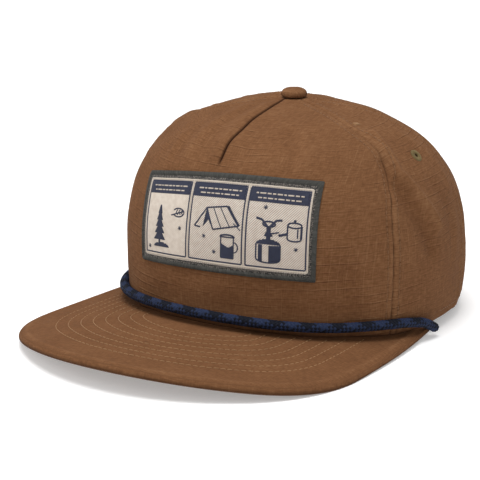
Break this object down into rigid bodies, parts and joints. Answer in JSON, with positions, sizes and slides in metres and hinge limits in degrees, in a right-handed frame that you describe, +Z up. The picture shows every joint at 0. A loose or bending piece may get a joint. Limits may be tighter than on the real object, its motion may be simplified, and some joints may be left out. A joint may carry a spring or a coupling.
{
  "type": "five-panel rope cap",
  "caption": "Soft five-panel cap with a flat arched brim, a cord across the front, a woven patch, a covered button and a snap strap at the back.",
  "frame": {"origin": "middle of the head opening, level with the surface the cap stands on", "axes": "+Z up through the crown, -Y towards the front of the brim, +X towards the wearer's left"},
  "size_m": [0.1876, 0.2631, 0.1182],
  "materials": {
    "crown_cloth": "ripstop cotton, washed matt",
    "button_cloth": "ripstop cotton, washed matt",
    "thread": "matt buttonhole thread",
    "tape": "twill tape",
    "sweatband": "brushed cotton twill",
    "patch": "woven label with twill lines",
    "patch_edge": "overlocked thread border",
    "rope": "braided cord, navy with blue flecks",
    "board": "stiff sheet",
    "metal": "pressed steel",
    "strap": "satin moulded plastic"
  },
  "bodies": {
    "cap": {"front_panel": "crown_cloth", "side_panel_left": "crown_cloth", "side_panel_right": "crown_cloth", "back_panel_left": "crown_cloth", "back_panel_right": "crown_cloth", "side_eyelet_left": "thread", "side_eyelet_right": "thread", "back_eyelet_left": "thread", "back_eyelet_right": "thread", "dart_tape": "tape", "front_seam_tape_left": "tape", "front_seam_tape_right": "tape", "back_seam_tape_left": "tape", "back_seam_tape_right": "tape", "centre_back_tape": "tape", "sweatband": "sweatband", "arch_binding": "tape", "patch_fabric": "patch", "patch_border": "patch_edge", "brim_top_cover": "crown_cloth", "brim_board": "board", "brim_under_cover": "crown_cloth", "rope": "rope", "button_cover": "button_cloth", "button_shell": "metal", "button_tack": "metal", "strap_root_left": "strap", "strap_root_right": "strap"},
    "hole_strap": {"hole_strap": "strap"},
    "peg_strap": {"peg_strap": "strap"}
  },
  "joints": [
    {"name": "hole_strap_bend", "type": "hinge", "parent": "cap", "child": "hole_strap", "pos_m": [-0.04409, 0.08194, 0.01], "axis": [0, 0, 1], "range_deg": [0, 45], "stiffness_Nm_per_rad": 0.02},
    {"name": "peg_strap_bend", "type": "hinge", "parent": "cap", "child": "peg_strap", "pos_m": [0.04243, 0.07886, 0.01], "axis": [0, 0, 1], "range_deg": [0, 25], "stiffness_Nm_per_rad": 0.02}
  ]
}
